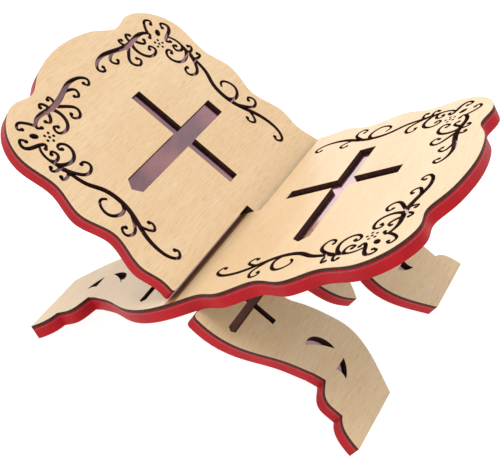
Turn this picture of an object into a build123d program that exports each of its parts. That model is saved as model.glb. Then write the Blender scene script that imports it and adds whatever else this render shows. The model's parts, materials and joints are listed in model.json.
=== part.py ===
from build123d import *
from build123d.topology import SkipClean
from math import cos, log, pi, radians, sin, tan
import os

# A book stand of two equal laminated boards that slide together through half-width slots and
# cross in an X. Above the crossing the boards are the wings that a book lies open on, and below
# it they are the legs. Each board is three layers glued face to face: a veneered panel with
# openwork, a tinted mirror sheet that shows through the openwork, and a red core board.
#
# +Z is up and +Y runs from the reader's side to the back, along the line where the boards
# cross. The origin is on the floor under the middle of the stand. All sizes are millimetres.
#
# A board is drawn flat in its own u, v and w: u along the crossing line from the middle of the
# board, v up the slope from the crease where the two top faces meet, and w out of the top face.

os.makedirs("parts", exist_ok=True)

# ---- driving dimensions ----
BOARD_TILT = 31.3  # degrees that each board slopes from the floor
FACE_THICK = 3.0
LINER_THICK = 1.0
CORE_THICK = 7.0
BOARD_THICK = FACE_THICK + LINER_THICK + CORE_THICK
FOOT_V = -143.1  # the feet are cut square here
SLOT_PLAY = 0.3  # gap between a slot and the board in it, at each end of the slot
SLOT_OVERRUN = 0.2  # each slot runs this far past the middle of its board
WING_CORNER_RADIUS = 2.0
LEG_CORNER_RADIUS = 3.0
WING_START_V = 1.0  # above here a top face is clear of the other board, so a book can lie on it

# ---- worked out from them ----
TILT = radians(BOARD_TILT)
CREASE_HEIGHT = -FOOT_V * sin(TILT) + BOARD_THICK * cos(TILT)
SLOT_MIDDLE_V = -BOARD_THICK / 2 * tan(TILT)
SLOT_LENGTH = BOARD_THICK / tan(TILT) + 2 * SLOT_PLAY
BOARD_REACH = 250.0  # larger than any cut across a board needs

# ---- outline of one board, its half at u > 0; the other half is its mirror image ----
# Down the outside: the domed top, the rounded shoulder, the wavy side, the waist beside the
# slot, and the leg to the spur above the foot.
WAIST_HALF_WIDTH = 101.2  # beside the slot
OUTER_EDGE = [
    (0, 171.3),
    (20, 169.1),
    (36.5, 163.6),
    (51, 156.9),
    (65, 159.3),
    (80, 155.1),
    (91, 145),
    (97.2, 126),
    (94.8, 102),
    (100.5, 80),
    (94.2, 56.5),
    (100.8, 30),
    (98.2, 16.5),
    (WAIST_HALF_WIDTH, 0),
    (104.3, -28),
    (100, -45.5),
    (90, -64.5),
    (82.3, -79),
    (76.6, -93.2),
    (74.1, -102.7),
]
# The two rounded steps of the foot, with a short upright between them.
UPPER_STEP = [(74.1, -102.7), (83.2, -106.8), (87.7, -115.5)]
LOWER_STEP = [(87.7, -123.6), (94.5, -128.2), (98, -135), (100, FOOT_V)]
# Up the inside of the leg, over the arch and down to the pointed tip of the pendant.
INNER_EDGE = [
    (46.4, FOOT_V),
    (37.7, -130),
    (29.6, -115.5),
    (25.4, -96.5),
    (29.1, -81),
    (37.7, -61),
    (42, -49.5),
    (36, -42.5),
    (24, -45),
    (15.5, -56),
    (12.7, -67.7),
    (7.6, -82),
    (0, -91.3),
]

# ---- crosses, on a wing at full size and on each leg at LEG_CROSS_SIZE ----
CROSS_LONG_ARM = 64.2
CROSS_POINT = 68.9  # to the tip of the pointed end
CROSS_SHORT_ARM = 44.1
CROSS_SIDE_ARM = 43.9
CROSS_BAR_HALF = 6.4
CROSS_ARM_HALF = 4.9
WING_CROSS_U = 12.0  # its arms meet this far behind the middle of the wing
LEG_CROSS_SIZE = 0.426
LEG_CROSS_U = 64.8
LEG_CROSS_V = -36.3

# ---- scrollwork, drawn once for u > 0 ----
# Each stroke is its widest width, how far along it that is, and its centre line. It narrows
# from there to TIP_WIDTH. A spine is widest inside its length, and a branch at its root.
TIP_WIDTH = 1.5
BALL_RADIUS = 1.45
BEAM_WIDTH = 0.25  # the laser cuts every stroke this much wider than it is drawn
STROKE_STEP = 1.1  # spacing of the points that a stroke's sides are drawn through
# The spray along the top of the wing and the hook at its corner, each with a ball at both ends.
SPINES = [
    (3.8, 0.6, [(12.1, 141.3), (9.8, 138.5), (7, 141.4), (9.4, 145.2), (15, 147.5), (21, 147.9),
                (29, 146), (38, 143.3), (47, 142.1), (57, 143.1), (65, 142.2), (69.2, 138.6),
                (66.5, 136.3)]),
    (2.6, 0.6, [(83.7, 136), (86.6, 139), (89, 134.8), (84.6, 130.6), (79, 129), (75.6, 126.8),
                (77.9, 124.5)]),
]
# The long stem from the hook down the side of the wing, with a ball at its foot.
STEM = (3.4, 0.54, [(79.6, 128.6), (83, 121), (82, 111.5), (80.2, 101), (77.6, 90), (73, 81.8),
                    (70.8, 72.4), (71.6, 62), (75.2, 51.8), (79.6, 41), (81.2, 29), (79, 20.6),
                    (74.6, 17.4), (71.5, 20.4), (72.8, 22.6)])
STEM_KNOT = (81.4, 109.5, 3.8, 1.8, 98)  # u, v, half length, half width and turn of its swelling
# Each branch leaves a spine or the stem at its root and ends in a ball.
BRANCHES = [
    (2.2, [(69.2, 140.2), (73.4, 146.2), (77.4, 148.2), (80.4, 145.8), (78.3, 143.4)]),
    (2.6, [(53.4, 141.6), (54.8, 138.4), (58.4, 135.6), (60.5, 137.8)]),
    (2.8, [(49.4, 141.8), (46.9, 135), (49.4, 127.8), (55, 124.9), (61, 128), (59.4, 131.6),
           (56.9, 130.1)]),
    (2.6, [(44.4, 141), (38.2, 136.6), (33.8, 130.6), (38.2, 125.9), (42.2, 128.4), (40.8, 130.9)]),
    (2.4, [(50.8, 142.6), (49.9, 146.2), (52.4, 148.8), (54.2, 147)]),
    (2.4, [(45.8, 142.4), (42.3, 145.4), (42.7, 148.8), (44.8, 147.9)]),
    (2.4, [(31, 145.2), (25.8, 144.2), (21.5, 140.6), (24.2, 136.8), (26.7, 138.4)]),
    (2.2, [(82.6, 117.2), (78.9, 114.6), (75, 117.3), (76.6, 120.9), (78.3, 119.6)]),
    (2.8, [(82, 112.8), (76.4, 108.6), (69, 108.2), (63.9, 114.4), (65.6, 120), (69.6, 121),
           (70.8, 118.8), (69.2, 117.6)]),
    (2.8, [(80.8, 107.6), (76.8, 99.8), (69.2, 94.9), (63.9, 98.8), (66.2, 102.7), (68.4, 102.4)]),
    (2.2, [(81.8, 111.6), (85.4, 109.6), (88.4, 111.8), (86.8, 113.7)]),
    (2.2, [(81, 105.6), (84.6, 102.3), (88.2, 103.4), (87.2, 105)]),
    (2.4, [(72.6, 58.4), (78.1, 52), (84.6, 48.4), (89.3, 52), (86.6, 56), (84.6, 54.6)]),
    (2.2, [(75.4, 51.8), (74, 43), (71, 40.4), (67.9, 43.8), (69.1, 46.3)]),
]
OPEN_LOOP = (2.6, 0, [(71.6, 66), (79.6, 62.7), (86, 69), (81.4, 77.7), (76.8, 75.2)])  # no ball
EYE = (76.2, 135.4, 3.1, 2.05, 42)  # u, v, half length, half width and turn of the long dot
ROSETTE = (68.2, 128.6)
ROSETTE_RADIUS = 3.3
ROSETTE_DOTS = 5
DOT_RADIUS = 1.0

# ---- the two crescents cut in each leg, drawn once for u > 0 ----
UPPER_CRESCENT_BACK = [(62.3, -79.5), (52.6, -80.8), (49, -85.6), (48.4, -96.8)]
UPPER_CRESCENT_BELLY = (54.4, -87.3)
LOWER_CRESCENT_TOP = [(61, -104.9), (49.6, -105.1)]
LOWER_CRESCENT_BACK = (54.8, -110.1)
LOWER_CRESCENT_TIP = (62.2, -113.5)
LOWER_CRESCENT_BELLY = (60.4, -108.9)


def both_sides(sketch):
    """The sketch and its mirror image across the middle of the board."""
    return sketch + mirror(sketch, about=Plane.YZ)


def board_outline(drop):
    """One board's shape before its slot, cut `drop` lower down the slope than it was drawn."""
    half = [
        Spline(*OUTER_EDGE, tangents=[(1, 0), (-1, -4.2)]),
        Spline(*UPPER_STEP, tangents=[(2, -1), (0, -1)]),
        Line(UPPER_STEP[-1], LOWER_STEP[0]),
        Spline(*LOWER_STEP),
        Line(LOWER_STEP[-1], INNER_EDGE[0]),
        Spline(*INNER_EDGE, tangents=[(-2, 3), (-1, -1)]),
    ]
    other_half = [mirror(edge, about=Plane.YZ) for edge in half]
    outline = Pos(0, -drop) * make_face(half + other_half)
    below_feet = Pos(0, FOOT_V) * Rectangle(BOARD_REACH, BOARD_REACH, align=(Align.CENTER, Align.MAX))
    return outline - below_feet


def slotted_outline(drop):
    """The outline with the slot that the other board slides into, open at u < 0."""
    slot = Pos(SLOT_OVERRUN, SLOT_MIDDLE_V) * Rectangle(
        BOARD_REACH, SLOT_LENGTH, align=(Align.MAX, Align.CENTER)
    )
    outline = board_outline(drop) - slot
    for sign, radius in ((1, WING_CORNER_RADIUS), (-1, LEG_CORNER_RADIUS)):
        mouth = (-WAIST_HALF_WIDTH, SLOT_MIDDLE_V + sign * SLOT_LENGTH / 2)
        corner = outline.vertices().sort_by_distance(mouth)[0]
        outline = fillet(corner, radius)
    return outline


def cross(size):
    """A cross lying on its side, with its arms' meeting at the origin and its point to +u."""
    bar = Polygon(
        (-CROSS_SHORT_ARM * size, -CROSS_BAR_HALF * size),
        (CROSS_LONG_ARM * size, -CROSS_BAR_HALF * size),
        (CROSS_POINT * size, 0),
        (CROSS_LONG_ARM * size, CROSS_BAR_HALF * size),
        (-CROSS_SHORT_ARM * size, CROSS_BAR_HALF * size),
        align=None,
    )
    return bar + Rectangle(2 * CROSS_ARM_HALF * size, 2 * CROSS_SIDE_ARM * size)


def stroke(widest, widest_at, points):
    """A tapering stroke along a smooth line through the points."""
    line = Spline(*points)
    steps = round(line.length / STROKE_STEP)
    left, right = [], []
    for step in range(steps + 1):
        along = step / steps
        fullness = sin(pi * along ** (log(0.5) / log(widest_at))) if widest_at else 1 - along
        half_width = (TIP_WIDTH + (widest - TIP_WIDTH) * fullness + BEAM_WIDTH) / 2
        direction = line % along
        aside = Vector(-direction.Y, direction.X) * half_width
        left.append(line @ along + aside)
        right.append(line @ along - aside)
    sides = [Spline(*left), Line(left[-1], right[-1]), Spline(*right), Line(left[0], right[0])]
    return make_face(sides)


def turned_ellipse(u, v, half_length, half_width, turn):
    """An ellipse at (u, v), its length turned from u by the given degrees."""
    return Pos(u, v) * Rotation(0, 0, turn) * Ellipse(half_length, half_width)


def scrollwork():
    """The strokes, balls, long dot and rosette of one corner of a wing."""
    shapes = [stroke(*STEM), stroke(*OPEN_LOOP), turned_ellipse(*STEM_KNOT), turned_ellipse(*EYE)]
    shapes += [stroke(*spine) for spine in SPINES]
    shapes += [stroke(widest, 0, points) for widest, points in BRANCHES]
    ball_places = [STEM[-1][-1]]
    ball_places += [points[end] for *_, points in SPINES for end in (0, -1)]
    ball_places += [points[-1] for widest, points in BRANCHES]
    shapes += [Pos(*place) * Circle(BALL_RADIUS) for place in ball_places]
    shapes.append(Pos(*ROSETTE) * Circle(DOT_RADIUS))
    petals = PolarLocations(ROSETTE_RADIUS, ROSETTE_DOTS, start_angle=-90)
    shapes += [Pos(*ROSETTE) * petal * Circle(DOT_RADIUS) for petal in petals]
    return Sketch() + shapes


def crescents():
    """The two crescents of one leg."""
    tip, far_tip = UPPER_CRESCENT_BACK[0], UPPER_CRESCENT_BACK[-1]
    upper = make_face([Spline(*UPPER_CRESCENT_BACK), ThreePointArc(far_tip, UPPER_CRESCENT_BELLY, tip)])
    top_start, top_end = LOWER_CRESCENT_TOP
    lower = make_face(
        [
            Line(top_start, top_end),
            ThreePointArc(top_end, LOWER_CRESCENT_BACK, LOWER_CRESCENT_TIP),
            ThreePointArc(LOWER_CRESCENT_TIP, LOWER_CRESCENT_BELLY, top_start),
        ]
    )
    return upper + lower


def openwork(side):
    """Everything cut through one board's face panel."""
    leg_cross = Pos(LEG_CROSS_U, LEG_CROSS_V) * cross(LEG_CROSS_SIZE)
    pattern = Pos(0, -side["drop"]) * both_sides(leg_cross + crescents() + scrollwork())
    arms_meet = Pos(-side["to_reader"] * WING_CROSS_U, side["cross_v"])
    point_to_reader = Rotation(0, 0, 0 if side["to_reader"] > 0 else 180)
    return pattern + arms_meet * point_to_reader * cross(1)


def what_stays(sketch):
    """The panel without the chips that fall out where cuts run together."""
    return sketch.faces().sort_by(SortBy.AREA)[-1]


def sheet(sketch, top, thickness):
    """A sheet below w = top, its faces divided across WING_START_V so that the wing has its own."""
    wing_side = Pos(0, WING_START_V) * Rectangle(
        BOARD_REACH, BOARD_REACH, align=(Align.CENTER, Align.MIN)
    )
    wing = extrude(sketch & wing_side, amount=thickness)
    legs = extrude(sketch - wing_side, amount=thickness)
    with SkipClean():  # cleaning would join the divided faces again
        whole = wing.fuse(legs)
    return Pos(0, 0, top - thickness) * whole


# The left board's u runs to the back and the right board's to the reader, so the left slot opens
# to the reader and the right one to the back. The right board was cut a little lower against its
# slot. to_reader is the way along u that each wing's cross points, and plane is its top face.
SIDES = {
    "left": {
        "plane": Plane((0, 0, CREASE_HEIGHT), x_dir=(0, 1, 0), z_dir=(sin(TILT), 0, cos(TILT))),
        "to_reader": -1,
        "drop": 0.0,
        "cross_v": 68.8,
    },
    "right": {
        "plane": Plane((0, 0, CREASE_HEIGHT), x_dir=(0, -1, 0), z_dir=(-sin(TILT), 0, cos(TILT))),
        "to_reader": 1,
        "drop": 2.6,
        "cross_v": 67.6,
    },
}

for name, side in SIDES.items():
    outline = slotted_outline(side["drop"])
    layers = [
        ("face_panel", what_stays(outline - openwork(side)), FACE_THICK),
        ("mirror_liner", outline, LINER_THICK),
        ("core_board", outline, CORE_THICK),
    ]
    top = 0
    for layer_name, sketch, thickness in layers:
        layer = side["plane"] * sheet(sketch, top, thickness)
        export_step(layer, f"parts/{name}_{layer_name}.step")
        top -= thickness
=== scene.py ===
import json
from math import cos, radians, sin

import bmesh
import bpy
from mathutils import Euler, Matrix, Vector


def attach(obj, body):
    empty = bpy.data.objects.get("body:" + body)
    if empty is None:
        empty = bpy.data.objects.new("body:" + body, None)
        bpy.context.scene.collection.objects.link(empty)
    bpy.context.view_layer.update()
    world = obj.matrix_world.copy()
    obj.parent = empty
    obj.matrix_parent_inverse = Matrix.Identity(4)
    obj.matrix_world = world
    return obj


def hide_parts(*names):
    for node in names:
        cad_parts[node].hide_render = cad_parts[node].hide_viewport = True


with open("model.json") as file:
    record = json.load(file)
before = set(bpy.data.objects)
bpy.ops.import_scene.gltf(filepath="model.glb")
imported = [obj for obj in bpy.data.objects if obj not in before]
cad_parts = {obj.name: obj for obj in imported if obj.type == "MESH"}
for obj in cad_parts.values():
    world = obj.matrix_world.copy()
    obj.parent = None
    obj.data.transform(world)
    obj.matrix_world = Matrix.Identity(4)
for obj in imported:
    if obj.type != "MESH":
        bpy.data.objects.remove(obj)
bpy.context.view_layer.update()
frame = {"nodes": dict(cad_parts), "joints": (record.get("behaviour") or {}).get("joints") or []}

# ======================================================================================
# The two face panels: 3 mm board veneered with pale steamed beech, its grain running from
# the reader to the back. The outline, crosses and scrolls are cut by laser, which leaves
# the cut edges dark brown and the rim of the veneer faintly scorched.
# ======================================================================================

BOARD_TILT = radians(31.3)  # the slope of each board as the stand opens
SIDES = {"left": -1, "right": 1}  # the way along X that each board climbs
TOPS = {side: Vector((-way * sin(BOARD_TILT), 0, cos(BOARD_TILT))) for side, way in SIDES.items()}
UP_SLOPES = {side: Vector((way * cos(BOARD_TILT), 0, sin(BOARD_TILT))) for side, way in SIDES.items()}
CROSSING = Vector(frame["joints"][0]["pos_m"])  # on the line that the two boards fold about

# Lengths are in metres. A board's slot opens to the rear where SIDES has 1, and to the front
# where it has -1. The other board's solid half passes through it there.
PANEL_THICKNESS = 0.003
SLOT_HALF_LENGTH = 0.0094
SLOT_CLEARANCE = 0.001
# where a brown band of painted shade lies on the veneer, standing in for the shadowed seam
SEAM_SHADE_BAND = (-SLOT_HALF_LENGTH, -0.0008)  # up the slope from the crossing
BAND_FADE = 0.0003
PAINT_LAP = 0.0008  # how far the core's lacquer has run up the panel's outer edge
PAINT_FADE = 0.06  # of the panel's thickness

WELD = 0.000001
SAME_LEVEL = 0.00002
CREASE = radians(28)
SIDEWAYS = 0.5  # a face whose normal leans on the board's by less than this is a wall
MITRE_LIMIT = 1.6  # a corner of an eased rim goes in no further than this many ring widths

VENEER_RIM = [(0, 0.00008), (0.00026, 0)]  # how far in from the edge, how far below the flat
RIM_SCORCH = [1.0, 0.0]  # how brown the veneer is at each of those steps
GRAIN_START = {"left": Vector((0.37, 0.11, 0.20)), "right": Vector((1.91, 0.73, 0.40))}


def open_layer(node):
    """A layer's CAD solid as an editable mesh, welded along its edges and without its own normals."""
    solid = frame["nodes"][node].data.copy()
    if "custom_normal" in solid.attributes:
        solid.attributes.remove(solid.attributes["custom_normal"])
    layer = bmesh.new()
    layer.from_mesh(solid)
    bpy.data.meshes.remove(solid)
    bmesh.ops.remove_doubles(layer, verts=layer.verts, dist=WELD)
    bmesh.ops.dissolve_degenerate(layer, dist=WELD, edges=layer.edges)
    for face in layer.faces:
        face.smooth = True
        face.material_index = 0
    return layer


def flat_side(layer, way):
    """The faces of the flat side that looks the given way."""
    level = max(vert.co.dot(way) for vert in layer.verts)
    return [
        face
        for face in layer.faces
        if all(level - vert.co.dot(way) < SAME_LEVEL for vert in face.verts)
    ]


def ease_rim(layer, side, way, profile):
    """Rounds the rim of a flat side. Each step of the profile is how far in and how far below."""
    rings = []
    levels = []
    for (last_in, _), (this_in, _) in zip(profile, profile[1:]):
        made = bmesh.ops.inset_region(
            layer,
            faces=side,
            thickness=this_in - last_in,
            use_even_offset=True,
            use_boundary=True,
        )
        inner = {vert for face in side for vert in face.verts}
        outer = {vert for face in made["faces"] for vert in face.verts} - inner
        longest = (this_in - last_in) * MITRE_LIMIT
        for vert in outer:
            for edge in vert.link_edges:
                other = edge.other_vert(vert)
                step = other.co - vert.co
                if other in inner and step.length > longest:
                    other.co = vert.co + step * (longest / step.length)
        rings.append(made["faces"])
        levels.append(outer)
    levels.append({vert for face in rings[-1] for vert in face.verts} - levels[-1])
    for level, (_, below) in zip(levels, profile):
        for vert in level:
            vert.co -= way * below
    return rings, levels


def outer_wall(layer, *sides):
    """The cut edge round the outline, followed from the foot, without the openwork's walls."""
    walls = set(layer.faces).difference(*sides)
    reach = [min(walls, key=lambda face: face.calc_center_median().z)]
    found = set(reach)
    while reach:
        face = reach.pop()
        beside = {other for edge in face.edges for other in edge.link_faces}
        fresh = (beside & walls) - found
        found |= fresh
        reach.extend(fresh)
    return found


def slot_walls(layer, side):
    """The cut faces inside the slot that the other board passes through."""
    found = []
    for face in layer.faces:
        middle = face.calc_center_median()
        up_slope = (middle - CROSSING).dot(UP_SLOPES[side])
        in_slot_half = middle.y * SIDES[side] > -SLOT_CLEARANCE
        is_wall = abs(face.normal.dot(TOPS[side])) < SIDEWAYS
        if is_wall and in_slot_half and abs(up_slope) < SLOT_HALF_LENGTH:
            found.append(face)
    return found


def crease_edges(layer, *sides):
    """Keeps a crisp edge round each flat side and wherever the surface turns sharply."""
    layer.normal_update()
    flats = {face for side in sides for face in side}
    for edge in layer.edges:
        flat_rim = len({face in flats for face in edge.link_faces}) == 2
        edge.smooth = not flat_rim and edge.calc_face_angle(0) < CREASE


def close_layer(layer, name, node, body, slot, *finishes):
    """Makes the finished mesh a piece that rides on its board in place of the CAD solid."""
    mesh = bpy.data.meshes.new(name)
    layer.to_mesh(mesh)
    layer.free()
    for finish in finishes:
        mesh.materials.append(finish)
    piece = bpy.data.objects.new(name, mesh)
    bpy.context.scene.collection.objects.link(piece)
    shading = piece.modifiers.new("even shading", "WEIGHTED_NORMAL")
    shading.keep_sharp = True
    shading.weight = 100
    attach(piece, body)
    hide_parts(node)


def new_finish(name):
    """An empty material with its surface shader, and the tree to build it in."""
    finish = bpy.data.materials.new(name)
    finish.use_nodes = True
    tree = finish.node_tree
    return finish, tree, tree.nodes["Principled BSDF"]


def put(tree, kind, settings=None, **wiring):
    """Adds a node. The wiring gives each input, by its name, a value or another node's output."""
    node = tree.nodes.new("ShaderNode" + kind)
    for name, value in (settings or {}).items():
        setattr(node, name, value)
    for name, value in wiring.items():
        fill(tree, node.inputs[name.replace("_", " ")], value)
    return node


def fill(tree, socket, value):
    """Gives an input a value, or joins another node's output to it."""
    if isinstance(value, bpy.types.NodeSocket):
        tree.links.new(value, socket)
    else:
        socket.default_value = value


def board_place(tree, side):
    """Coordinates that lie on the board: x up its slope, y along the grain, z through it."""
    turned = put(tree, "Mapping", Vector=put(tree, "TexCoord").outputs["Object"])
    turned.inputs["Location"].default_value = GRAIN_START[side]
    turned.inputs["Rotation"].default_value = (0, SIDES[side] * BOARD_TILT, 0)
    return turned.outputs["Vector"]


def mottle(tree, place, patches, detail):
    """Soft random variation, with so many patches to the metre along x, y and z."""
    stretched = put(tree, "Mapping", Vector=place, Scale=patches)
    noise = put(tree, "TexNoise", Vector=stretched.outputs["Vector"], Scale=1.0, Detail=detail)
    return noise.outputs["Fac"]


def between(tree, value, low, high, to_low=0.0, to_high=1.0):
    """Stretches the part of a value from low to high so that it fills a new range."""
    ends = {"From_Min": low, "From_Max": high, "To_Min": to_low, "To_Max": to_high}
    ranged = put(tree, "MapRange", {"interpolation_type": "SMOOTHSTEP"}, Value=value, **ends)
    return ranged.outputs["Result"]


def blend_colours(tree, share, below, above, way="MIX"):
    """Mixes two colours by a share from 0 to 1."""
    mixed = put(tree, "Mix", {"data_type": "RGBA", "blend_type": way})
    sockets = {socket.identifier: socket for socket in mixed.inputs}
    fill(tree, sockets["Factor_Float"], share)
    fill(tree, sockets["A_Color"], below)
    fill(tree, sockets["B_Color"], above)
    return next(socket for socket in mixed.outputs if socket.identifier == "Result_Color")


def reckon(tree, kind, operation, *terms):
    """One step of arithmetic, on numbers with Math or on vectors with VectorMath."""
    worked = put(tree, kind, {"operation": operation})
    for socket, term in zip(worked.inputs, terms):
        fill(tree, socket, term)
    return next(socket for socket in worked.outputs if socket.enabled)


def raise_by(tree, height, distance, strength, under=None):
    """Turns a height from 0 to 1 into fine relief, this many metres deep."""
    relief = put(tree, "Bump", Height=height, Distance=distance, Strength=strength)
    if under is not None:
        fill(tree, relief.inputs["Normal"], under)
    return relief.outputs["Normal"]


def painted_seam_shade(tree, side):
    """Painted shade: 1 in a brown band where the other board's edge crosses over this one, standing in
    for the shadowed seam there.
    """
    place = put(tree, "TexCoord").outputs["Object"]
    apart = reckon(tree, "VectorMath", "SUBTRACT", place, CROSSING)
    up_slope = reckon(tree, "VectorMath", "DOT_PRODUCT", apart, UP_SLOPES[side])
    depth = put(tree, "SeparateXYZ", Vector=apart).outputs["Y"]
    low, high = SEAM_SHADE_BAND
    above_foot = between(tree, up_slope, low, low + BAND_FADE)
    below_head = between(tree, up_slope, high - BAND_FADE, high, 1, 0)
    solid_front, solid_rear = (1, 0) if SIDES[side] > 0 else (0, 1)
    solid_half = between(tree, depth, -BAND_FADE, BAND_FADE, solid_front, solid_rear)
    band = reckon(tree, "Math", "MULTIPLY", above_foot, below_head)
    return reckon(tree, "Math", "MULTIPLY", band, solid_half)


def beech_veneer(side):
    """Pale beech: soft bands, growth lines, fine ray flecks, a scorched rim and a brown band of painted
    shade at the seam.
    """
    pale = (0.850, 0.610, 0.360, 1)
    warm = (0.800, 0.545, 0.295, 1)
    fleck_brown = (0.600, 0.380, 0.175, 1)
    fleck_light = (0.920, 0.740, 0.480, 1)
    scorch_brown = (0.150, 0.075, 0.040, 1)
    seam_shade_brown = (0.440, 0.165, 0.065, 1)
    fleck_share = {"left": 0.42, "right": 0.26}[side]
    finish, tree, shader = new_finish(f"{side} beech veneer")
    place = board_place(tree, side)
    bands = between(tree, mottle(tree, place, (45, 7, 45), 3), 0.34, 0.66)
    lines = between(tree, mottle(tree, place, (620, 14, 620), 3), 0.36, 0.64)
    flecks = between(tree, mottle(tree, place, (1900, 95, 1900), 1), 0.54, 0.66)
    bright_flecks = between(tree, mottle(tree, place, (1500, 80, 1500), 1), 0.56, 0.68)
    pores = mottle(tree, place, (6500, 500, 6500), 2)
    colour = blend_colours(tree, between(tree, bands, 0, 1, 0, 0.75), pale, warm)
    colour = blend_colours(tree, between(tree, lines, 0, 1, 0, 0.35), colour, warm)
    colour = blend_colours(tree, between(tree, flecks, 0, 1, 0, fleck_share), colour, fleck_brown)
    colour = blend_colours(tree, between(tree, bright_flecks, 0, 1, 0, 0.35), colour, fleck_light)
    scorch = put(tree, "Attribute", {"attribute_name": "scorch"}).outputs["Fac"]
    colour = blend_colours(tree, between(tree, scorch, 0.1, 1.0, 0, 0.85), colour, scorch_brown)
    # painted shade: a brown band along the seam where the other board crosses over this one
    colour = blend_colours(tree, painted_seam_shade(tree, side), colour, seam_shade_brown)
    fill(tree, shader.inputs["Base Color"], colour)
    fill(tree, shader.inputs["Roughness"], between(tree, pores, 0.3, 0.7, 0.32, 0.44))
    shader.inputs["Specular IOR Level"].default_value = 0.85
    fill(tree, shader.inputs["Normal"], raise_by(tree, pores, 0.000006, 0.4))
    return finish


def scorched_edge(side):
    """A laser-cut edge: dark brown and streaky, its foot red where the core's lacquer laps it."""
    char = (0.032, 0.0135, 0.0115, 1)
    brown = (0.100, 0.043, 0.034, 1)
    lacquer = (0.400, 0.0065, 0.0130, 1)
    finish, tree, shader = new_finish(f"{side} scorched edge")
    place = board_place(tree, side)
    streaks = mottle(tree, place, (2800, 2800, 130), 3)
    tone = mottle(tree, place, (120, 120, 200), 2)
    colour = blend_colours(tree, between(tree, streaks, 0.35, 0.68), char, brown)
    colour = blend_colours(tree, between(tree, tone, 0.45, 0.75, 0, 0.5), colour, char)
    foot = put(tree, "Attribute", {"attribute_name": "foot"}).outputs["Fac"]
    wander = mottle(tree, place, (60, 60, 60), 1)
    uneven_foot = reckon(tree, "Math", "MULTIPLY_ADD", wander, PAINT_FADE, foot)
    paint_line = 1 - PAINT_LAP / PANEL_THICKNESS
    painted = between(tree, uneven_foot, paint_line, paint_line + PAINT_FADE)
    colour = blend_colours(tree, painted, colour, lacquer)
    fill(tree, shader.inputs["Base Color"], colour)
    fill(tree, shader.inputs["Roughness"], between(tree, streaks, 0.3, 0.7, 0.5, 0.72))
    shader.inputs["Specular IOR Level"].default_value = 0.1
    fill(tree, shader.inputs["Normal"], raise_by(tree, streaks, 0.00004, 0.8))
    return finish


cut_edges = {side: scorched_edge(side) for side in SIDES}

for side, top in TOPS.items():
    node = f"{side}_face_panel"
    panel = open_layer(node)
    scorch = panel.verts.layers.float.new("scorch")
    foot = panel.verts.layers.float.new("foot")
    veneer = flat_side(panel, top)
    back = flat_side(panel, -top)
    face_level = max(vert.co.dot(top) for vert in panel.verts)
    # The foot value grows from 0 at the face to 1 at the back, on the outline's wall alone.
    for face in outer_wall(panel, veneer, back).difference(slot_walls(panel, side)):
        for vert in face.verts:
            vert[foot] = (face_level - vert.co.dot(top)) / PANEL_THICKNESS
    rings, levels = ease_rim(panel, veneer, top, VENEER_RIM)
    for level, strength in zip(levels, RIM_SCORCH):
        for vert in level:
            vert[scorch] = strength
    veneered = set(veneer).union(*rings)
    for face in panel.faces:
        face.material_index = 0 if face in veneered else 1
    crease_edges(panel, veneer, back)
    finishes = beech_veneer(side), cut_edges[side]
    close_layer(panel, f"{side}_beech_face", node, f"{side}_board", "beech_veneer", *finishes)

# ======================================================================================
# The two mirror liners: 1 mm red-tinted half-mirror acrylic, glued behind each face panel so
# that it shines mauve through the openwork. Its cut edge is a thin line round the board.
# ======================================================================================


def tinted_mirror(side):
    """Red-tinted mirror under a clear face, a little rippled and hazy as thin sheet is."""
    finish, tree, shader = new_finish(f"{side} tinted mirror")
    place = board_place(tree, side)
    ripple = mottle(tree, place, (28, 28, 28), 1)
    haze = mottle(tree, place, (34, 26, 34), 4)
    deep = (0.270, 0.155, 0.190, 1)
    light = (0.510, 0.235, 0.250, 1)
    tint = blend_colours(tree, between(tree, haze, 0.32, 0.70), deep, light)
    fill(tree, shader.inputs["Base Color"], tint)
    fill(tree, shader.inputs["Roughness"], between(tree, haze, 0.3, 0.75, 0.12, 0.22))
    shader.inputs["Metallic"].default_value = 1.0
    shader.inputs["Coat Weight"].default_value = 1.0
    shader.inputs["Coat Roughness"].default_value = 0.05
    fill(tree, shader.inputs["Normal"], raise_by(tree, ripple, 0.0004, 0.25))
    return finish


def mirror_edge(side):
    """The cut edge of the sheet: a thin dull line of rose acrylic, sprayed over with the core."""
    finish, tree, shader = new_finish(f"{side} mirror edge")
    place = board_place(tree, side)
    dulling = mottle(tree, place, (900, 900, 300), 2)
    rose = (0.360, 0.018, 0.028, 1)
    pale_rose = (0.430, 0.042, 0.055, 1)
    colour = blend_colours(tree, between(tree, dulling, 0.35, 0.65), rose, pale_rose)
    fill(tree, shader.inputs["Base Color"], colour)
    fill(tree, shader.inputs["Roughness"], between(tree, dulling, 0.3, 0.7, 0.40, 0.60))
    shader.inputs["Specular IOR Level"].default_value = 0.3
    return finish


for side, top in TOPS.items():
    node = f"{side}_mirror_liner"
    liner = open_layer(node)
    front = flat_side(liner, top)
    back = flat_side(liner, -top)
    silvered = set(front)
    for face in liner.faces:
        face.material_index = 0 if face in silvered else 1
    for face in slot_walls(liner, side):
        face.material_index = 2
    crease_edges(liner, front, back)
    finishes = tinted_mirror(side), mirror_edge(side), cut_edges[side]
    close_layer(liner, f"{side}_mirror_sheet", node, f"{side}_board", "tinted_mirror", *finishes)

# ======================================================================================
# The two core boards: 7 mm fibreboard with sanded edges. They carry the load and make the
# feet. The edges are sprayed in red lacquer, a little uneven, and the underside is left bare.
# ======================================================================================

CORE_ARRIS = 0.0005  # the radius that sanding gives the lower edge
CORE_RIM = [
    (CORE_ARRIS * (1 - cos(radians(turn))), CORE_ARRIS * (1 - sin(radians(turn))))
    for turn in (0, 30, 60, 90)
]


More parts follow.
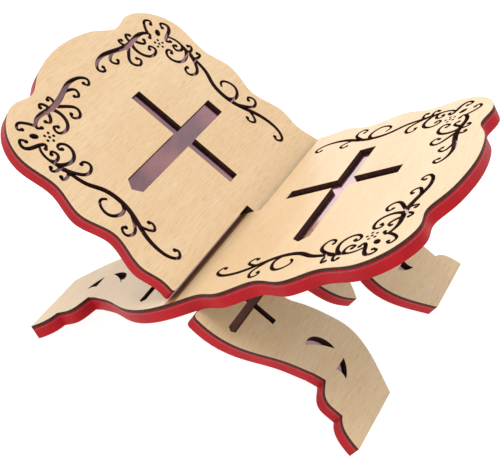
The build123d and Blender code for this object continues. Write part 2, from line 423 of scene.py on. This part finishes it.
def red_lacquer(side):
    """Satin red lacquer, with orange peel and the nap of the fibreboard edge under it."""
    red = (0.480, 0.0075, 0.0140, 1)
    deep_red = (0.400, 0.0060, 0.0110, 1)
    finish, tree, shader = new_finish(f"{side} red lacquer")
    place = board_place(tree, side)
    coats = between(tree, mottle(tree, place, (60, 60, 90), 3), 0.3, 0.7)
    peel = mottle(tree, place, (900, 900, 900), 2)
    nap = mottle(tree, place, (4200, 4200, 1500), 3)
    colour = blend_colours(tree, coats, red, deep_red)
    fill(tree, shader.inputs["Base Color"], colour)
    fill(tree, shader.inputs["Roughness"], between(tree, nap, 0.3, 0.7, 0.44, 0.60))
    shader.inputs["Specular IOR Level"].default_value = 0.15
    relief = raise_by(tree, peel, 0.00003, 0.5)
    fill(tree, shader.inputs["Normal"], raise_by(tree, nap, 0.00001, 0.5, relief))
    return finish


def bare_fibreboard(side):
    """The unpainted underside: plain brown fibreboard, its fibres lying every way."""
    tan = (0.150, 0.105, 0.070, 1)
    brown = (0.110, 0.075, 0.050, 1)
    dark_fibre = (0.055, 0.036, 0.024, 1)
    finish, tree, shader = new_finish(f"{side} bare fibreboard")
    place = board_place(tree, side)
    cloud = between(tree, mottle(tree, place, (70, 70, 70), 4), 0.20, 0.80)
    fibres = mottle(tree, place, (1700, 2300, 1700), 3)
    specks = between(tree, mottle(tree, place, (900, 900, 900), 2), 0.62, 0.72)
    colour = blend_colours(tree, cloud, tan, brown)
    colour = blend_colours(tree, between(tree, fibres, 0.35, 0.70, 0, 0.4), colour, tan)
    colour = blend_colours(tree, between(tree, specks, 0, 1, 0, 0.6), colour, dark_fibre)
    fill(tree, shader.inputs["Base Color"], colour)
    fill(tree, shader.inputs["Roughness"], between(tree, fibres, 0.3, 0.7, 0.70, 0.86))
    shader.inputs["Specular IOR Level"].default_value = 0.25
    fill(tree, shader.inputs["Normal"], raise_by(tree, fibres, 0.00003, 0.6))
    return finish


for side, top in TOPS.items():
    node = f"{side}_core_board"
    core = open_layer(node)
    front = flat_side(core, top)
    underside = flat_side(core, -top)
    ease_rim(core, underside, -top, CORE_RIM)
    for face in underside:
        face.material_index = 1
    for face in slot_walls(core, side):
        face.material_index = 2
    crease_edges(core, front, underside)
    finishes = red_lacquer(side), bare_fibreboard(side), cut_edges[side]
    close_layer(core, f"{side}_red_core", node, f"{side}_board", "red_lacquer", *finishes)

# ======================================================================================
# The studio: a plain pale floor under a white surround that is brighter behind the left wing,
# one large soft light overhead, and the camera in front and to the right, looking down.
# ======================================================================================

FLOOR_HALF = 6.0
FLOOR_GREY = 0.42
FLOOR_GLOW = 0.90
SURROUND_GREYS = [(0.0, 0.68), (0.58, 0.88), (0.74, 0.48), (0.97, 1.00)]  # from the horizon to overhead
WINDOW_WAY = Vector((-0.7, 0.7, 0.1)).normalized()  # behind the left wing
WINDOW_EDGE = 0.60  # the cosine of the angle from the window's middle to where its light ends
WINDOW_LIGHT = 1.0
LIGHT_SIZE = 0.8
LIGHT_POWER = 4.8
LIGHT_PLACE = Vector((0, -0.1, 1.3))
LIGHT_AIM = Vector((0, 0, 0.08))
CAMERA_PLACE = (0.26445, -0.53734, 0.53504)
CAMERA_TURN = Euler((radians(51.875), radians(-0.19), radians(26.594)))

floor_mesh = bpy.data.meshes.new("floor")
corners = [(-FLOOR_HALF, -FLOOR_HALF, 0), (FLOOR_HALF, -FLOOR_HALF, 0)]
corners += [(FLOOR_HALF, FLOOR_HALF, 0), (-FLOOR_HALF, FLOOR_HALF, 0)]
floor_mesh.from_pydata(corners, [], [(0, 1, 2, 3)])
floor = bpy.data.objects.new("floor", floor_mesh)
bpy.context.scene.collection.objects.link(floor)
floor_paint, _, floor_shader = new_finish("pale floor")
floor_shader.inputs["Base Color"].default_value = (FLOOR_GREY, FLOOR_GREY, FLOOR_GREY, 1)
floor_shader.inputs["Roughness"].default_value = 0.9
floor_shader.inputs["Specular IOR Level"].default_value = 0.0
floor_shader.inputs["Emission Color"].default_value = (1, 1, 1, 1)
floor_shader.inputs["Emission Strength"].default_value = FLOOR_GLOW
floor_mesh.materials.append(floor_paint)

scene = bpy.context.scene
scene.view_settings.view_transform = "Standard"

surround = bpy.data.worlds.new("surround")
scene.world = surround
surround.use_nodes = True
sky = surround.node_tree
way_out = put(sky, "TexCoord").outputs["Generated"]
height = put(sky, "SeparateXYZ", Vector=way_out).outputs["Z"]
ramp = put(sky, "ValToRGB", Fac=height)
ramp.color_ramp.interpolation = "EASE"
shades = ramp.color_ramp.elements
shades[-1].position = SURROUND_GREYS[-1][0]
for level, _ in SURROUND_GREYS[1:-1]:
    shades.new(level)
for shade, (_, grey) in zip(shades, SURROUND_GREYS):
    shade.color = (grey, grey, grey, 1)
towards_window = reckon(sky, "VectorMath", "DOT_PRODUCT", way_out, WINDOW_WAY)
window = between(sky, towards_window, WINDOW_EDGE, 1.0, 0, WINDOW_LIGHT)
light = blend_colours(sky, 1.0, ramp.outputs["Color"], window, "ADD")
fill(sky, sky.nodes["Background"].inputs["Color"], light)
sky.nodes["Background"].inputs["Strength"].default_value = 1.0

softbox = bpy.data.lights.new("softbox", "AREA")
softbox.shape = "DISK"
softbox.size = LIGHT_SIZE
softbox.energy = LIGHT_POWER
softbox_object = bpy.data.objects.new("softbox", softbox)
softbox_object.location = LIGHT_PLACE
softbox_object.rotation_euler = (LIGHT_AIM - LIGHT_PLACE).to_track_quat("-Z", "Y").to_euler()
scene.collection.objects.link(softbox_object)

camera = bpy.data.cameras.new("camera")
camera.lens = 80
camera.sensor_width = 36
camera_object = bpy.data.objects.new("camera", camera)
camera_object.location = CAMERA_PLACE
camera_object.rotation_euler = CAMERA_TURN
scene.collection.objects.link(camera_object)
scene.camera = camera_object
